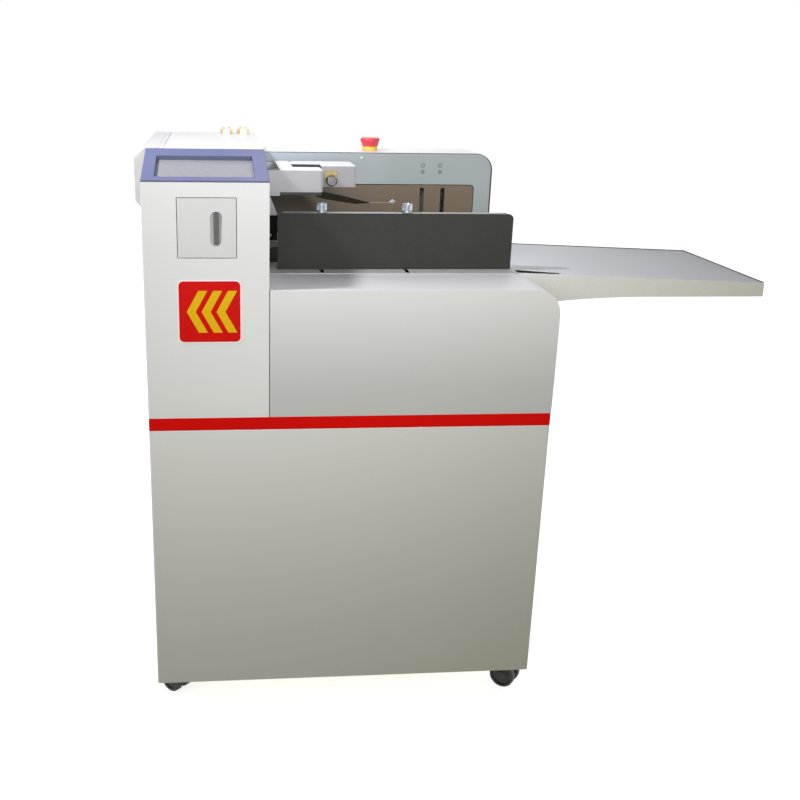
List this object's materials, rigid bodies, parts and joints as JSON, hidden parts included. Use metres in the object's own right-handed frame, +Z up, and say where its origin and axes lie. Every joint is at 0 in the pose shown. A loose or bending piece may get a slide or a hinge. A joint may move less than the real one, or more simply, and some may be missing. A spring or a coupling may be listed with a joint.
{
  "type": "paper creasing machine",
  "caption": "Floor-standing paper creasing machine with a console tower, hinged delivery hood, feed table with fence, bridge with emergency stop, side tray and casters.",
  "frame": {"origin": "middle of the whole machine's footprint, on the floor", "axes": "+Z up, -Y towards the operator, +X towards the feed tray"},
  "size_m": [1.1884, 0.64, 1.048],
  "materials": {
    "casing_paint": "light grey satin powder coat",
    "red_paint": "red satin paint",
    "bezel_plastic": "periwinkle blue satin paint",
    "screen": "grey touch panel",
    "panel_acrylic": "pale grey-green acrylic",
    "window_acrylic": "smoked brown acrylic",
    "fence_paint": "dark grey satin paint",
    "steel": "bright steel",
    "zinc": "zinc-plated steel",
    "deck_steel": "grey coated steel",
    "brass": "turned brass",
    "chrome": "polished chrome",
    "aluminium": "turned aluminium",
    "red_plastic": "red moulded plastic",
    "yellow_plastic": "yellow moulded plastic",
    "black_plastic": "black moulded plastic",
    "rubber": "black rubber",
    "tyre": "black caster tread",
    "motor_paint": "dark cast aluminium"
  },
  "bodies": {
    "machine": {"base_plate": "casing_paint", "cabinet_shell": "casing_paint", "trim_band": "red_paint", "bed_plate": "zinc", "back_panel": "casing_paint", "mains_inlet": "black_plastic", "upper_casing": "casing_paint", "deck_plate": "deck_steel", "feed_tray": "casing_paint", "tower_front_panel": "casing_paint", "tower_cover": "casing_paint", "console_bezel": "bezel_plastic", "touch_screen": "screen", "hood_hinge": "zinc", "air_fittings": "brass", "bridge_housing": "casing_paint", "bridge_front_panel": "panel_acrylic", "bridge_window": "window_acrylic", "estop_base": "yellow_plastic", "feed_head_bracket": "casing_paint", "separator_plate": "brass", "throat_guide": "casing_paint", "unit_side_plates": "steel", "die_bar": "steel", "drive_motor": "motor_paint", "drive_belt": "rubber", "suction_box": "zinc", "blower": "motor_paint", "control_box": "zinc", "caster_plates": "zinc", "cover_screws": "steel"},
    "delivery_hood": {"delivery_hood": "casing_paint"},
    "access_door": {"access_door": "casing_paint"},
    "fence_plate": {"fence_plate": "fence_paint"},
    "clamp_post_left": {"clamp_post_left": "aluminium"},
    "clamp_post_right": {"clamp_post_right": "aluminium"},
    "separator_knob": {"separator_knob": "chrome"},
    "hold_down_arm": {"hold_down_arm": "steel"},
    "estop_stem": {"estop_stem": "black_plastic"},
    "estop_head": {"estop_head": "red_plastic"},
    "air_lever_left": {"air_lever_left": "black_plastic"},
    "air_lever_right": {"air_lever_right": "black_plastic"},
    "power_rocker": {"power_rocker": "red_plastic"},
    "eccentric_shaft": {"eccentric_shaft": "steel"},
    "infeed_roller_lower": {"infeed_roller_lower": "rubber"},
    "infeed_roller_upper": {"infeed_roller_upper": "rubber"},
    "outfeed_roller_lower": {"outfeed_roller_lower": "rubber"},
    "outfeed_roller_upper": {"outfeed_roller_upper": "rubber"},
    "suction_drum": {"suction_drum": "aluminium"},
    "motor_pulley": {"motor_pulley": "steel"},
    "caster_fork_front_left": {"caster_fork_front_left": "black_plastic"},
    "caster_fork_front_right": {"caster_fork_front_right": "black_plastic"},
    "caster_fork_rear_left": {"caster_fork_rear_left": "black_plastic"},
    "caster_fork_rear_right": {"caster_fork_rear_right": "black_plastic"},
    "caster_wheels_front_left": {"caster_wheels_front_left": "tyre"},
    "caster_wheels_front_right": {"caster_wheels_front_right": "tyre"},
    "caster_wheels_rear_left": {"caster_wheels_rear_left": "tyre"},
    "caster_wheels_rear_right": {"caster_wheels_rear_right": "tyre"},
    "crease_beam": {"blade_beam": "steel", "crease_blade": "steel"}
  },
  "joints": [
    {"name": "hood_turn", "type": "hinge", "parent": "machine", "child": "delivery_hood", "pos_m": [-0.54635, 0, 1.029], "axis": [0, 1, 0], "range_deg": [0, 95]},
    {"name": "door_turn", "type": "hinge", "parent": "machine", "child": "access_door", "pos_m": [-0.51335, -0.3185, 0.919], "axis": [0, 0, -1], "range_deg": [0, 110]},
    {"name": "fence_slide", "type": "slide", "parent": "machine", "child": "fence_plate", "axis": [0, 1, 0], "range_m": [-0.035, 0.055]},
    {"name": "post_turn_left", "type": "hinge", "parent": "fence_plate", "child": "clamp_post_left", "pos_m": [-0.25685, -0.127, 0.928], "axis": [0, 0, 1], "range_deg": [0, 270]},
    {"name": "post_turn_right", "type": "hinge", "parent": "fence_plate", "child": "clamp_post_right", "pos_m": [-0.09785, -0.127, 0.928], "axis": [0, 0, 1], "range_deg": [0, 270]},
    {"name": "separator_turn", "type": "hinge", "parent": "machine", "child": "separator_knob", "pos_m": [-0.22635, -0.008, 0.965], "axis": [0, 1, 0], "continuous": true},
    {"name": "hold_down_lift", "type": "hinge", "parent": "machine", "child": "hold_down_arm", "pos_m": [-0.24585, 0.08, 0.944], "axis": [0, -1, 0], "range_deg": [0, 12]},
    {"name": "estop_press", "type": "slide", "parent": "machine", "child": "estop_stem", "axis": [0, 0, -1], "range_m": [0, 0.004], "stiffness_N_per_m": 1500, "springref_m": -0.001},
    {"name": "estop_twist", "type": "hinge", "parent": "estop_stem", "child": "estop_head", "pos_m": [-0.11535, 0.2565, 1.02], "axis": [0, 0, 1], "range_deg": [0, 45]},
    {"name": "air_slide_left", "type": "slide", "parent": "machine", "child": "air_lever_left", "axis": [0, 0, 1], "range_m": [0, 0.07]},
    {"name": "air_slide_right", "type": "slide", "parent": "machine", "child": "air_lever_right", "axis": [0, 0, 1], "range_m": [0, 0.07]},
    {"name": "rocker_turn", "type": "hinge", "parent": "machine", "child": "power_rocker", "pos_m": [-0.45785, 0.312, 0.1616], "axis": [1, 0, 0], "range_deg": [0, 16]},
    {"name": "eccentric_turn", "type": "hinge", "parent": "machine", "child": "eccentric_shaft", "pos_m": [-0.46785, 0.02, 0.919], "axis": [0, 1, 0], "range_deg": [0, 90]},
    {"name": "beam_slide", "type": "slide", "parent": "machine", "child": "crease_beam", "axis": [0, 0, 1], "range_m": [-0.004, 0]},
    {"name": "infeed_lower_spin", "type": "hinge", "parent": "machine", "child": "infeed_roller_lower", "pos_m": [-0.39485, 0.026, 0.80185], "axis": [0, 1, 0], "continuous": true},
    {"name": "infeed_upper_spin", "type": "hinge", "parent": "machine", "child": "infeed_roller_upper", "pos_m": [-0.39485, 0.026, 0.83215], "axis": [0, 1, 0], "continuous": true},
    {"name": "outfeed_lower_spin", "type": "hinge", "parent": "machine", "child": "outfeed_roller_lower", "pos_m": [-0.54085, 0.026, 0.80185], "axis": [0, 1, 0], "continuous": true},
    {"name": "outfeed_upper_spin", "type": "hinge", "parent": "machine", "child": "outfeed_roller_upper", "pos_m": [-0.54085, 0.026, 0.83215], "axis": [0, 1, 0], "continuous": true},
    {"name": "drum_spin", "type": "hinge", "parent": "machine", "child": "suction_drum", "pos_m": [-0.32285, 0.03, 0.7842], "axis": [0, 1, 0], "continuous": true},
    {"name": "motor_spin", "type": "hinge", "parent": "machine", "child": "motor_pulley", "pos_m": [-0.46785, -0.16, 0.62], "axis": [0, 1, 0], "continuous": true},
    {"name": "caster_swivel_front_left", "type": "hinge", "parent": "machine", "child": "caster_fork_front_left", "pos_m": [-0.52485, -0.258, 0.052], "axis": [0, 0, 1], "continuous": true},
    {"name": "wheel_roll_front_left", "type": "hinge", "parent": "caster_fork_front_left", "child": "caster_wheels_front_left", "pos_m": [-0.54041, -0.24244, 0.025], "axis": [-0.7071, -0.7071, 0], "continuous": true},
    {"name": "caster_swivel_front_right", "type": "hinge", "parent": "machine", "child": "caster_fork_front_right", "pos_m": [0.09915, -0.258, 0.052], "axis": [0, 0, 1], "continuous": true},
    {"name": "wheel_roll_front_right", "type": "hinge", "parent": "caster_fork_front_right", "child": "caster_wheels_front_right", "pos_m": [0.11649, -0.27154, 0.025], "axis": [0.6157, 0.788, 0], "continuous": true},
    {"name": "caster_swivel_rear_left", "type": "hinge", "parent": "machine", "child": "caster_fork_rear_left", "pos_m": [-0.52485, 0.258, 0.052], "axis": [0, 0, 1], "continuous": true},
    {"name": "wheel_roll_rear_left", "type": "hinge", "parent": "caster_fork_rear_left", "child": "caster_wheels_rear_left", "pos_m": [-0.51071, 0.27485, 0.025], "axis": [-0.766, 0.6428, 0], "continuous": true},
    {"name": "caster_swivel_rear_right", "type": "hinge", "parent": "machine", "child": "caster_fork_rear_right", "pos_m": [0.09915, 0.258, 0.052], "axis": [0, 0, 1], "continuous": true},
    {"name": "wheel_roll_rear_right", "type": "hinge", "parent": "caster_fork_rear_right", "child": "caster_wheels_rear_right", "pos_m": [0.07848, 0.25048, 0.025], "axis": [0.342, -0.9397, 0], "continuous": true}
  ],
  "couplings": [
    {"joint": "infeed_upper_spin", "follows": "infeed_lower_spin", "ratio": -1},
    {"joint": "outfeed_lower_spin", "follows": "infeed_lower_spin", "ratio": 1},
    {"joint": "outfeed_upper_spin", "follows": "infeed_lower_spin", "ratio": -1},
    {"joint": "motor_spin", "follows": "infeed_lower_spin", "ratio": 1},
    {"joint": "eccentric_turn", "follows": "beam_slide", "rad_per_m": -392.7}
  ]
}
